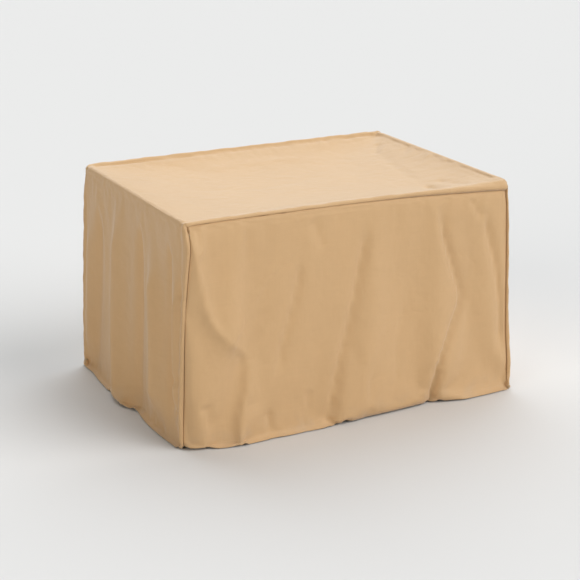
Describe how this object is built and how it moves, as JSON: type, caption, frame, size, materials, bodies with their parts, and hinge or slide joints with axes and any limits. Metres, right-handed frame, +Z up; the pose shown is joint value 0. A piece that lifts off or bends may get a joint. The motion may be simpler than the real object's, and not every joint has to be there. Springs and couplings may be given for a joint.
{
  "type": "grill cover",
  "caption": "Fitted rectangular cloth cover for a grill: one cut of coated cloth over the top and both sides, with a front and a back panel sewn in and an open hemmed foot.",
  "frame": {"origin": "on the ground, at the centre of the cover's outline at its hem", "axes": "+Z up, -Y towards the front panel, +X to the right along the front panel as seen from the front"},
  "size_m": [0.954, 0.694, 0.578],
  "materials": {
    "cover_cloth": "satin",
    "binding_tape": "matte",
    "sewing_thread": "satin",
    "label_cloth": "satin"
  },
  "bodies": {
    "root": {"top_and_sides_panel": "cover_cloth", "front_panel": "cover_cloth", "back_panel": "cover_cloth", "front_seam_binding": "binding_tape", "back_seam_binding": "binding_tape", "front_seam_thread": "sewing_thread", "back_seam_thread": "sewing_thread", "hem_thread": "sewing_thread", "care_label": "label_cloth"}
  },
  "joints": []
}
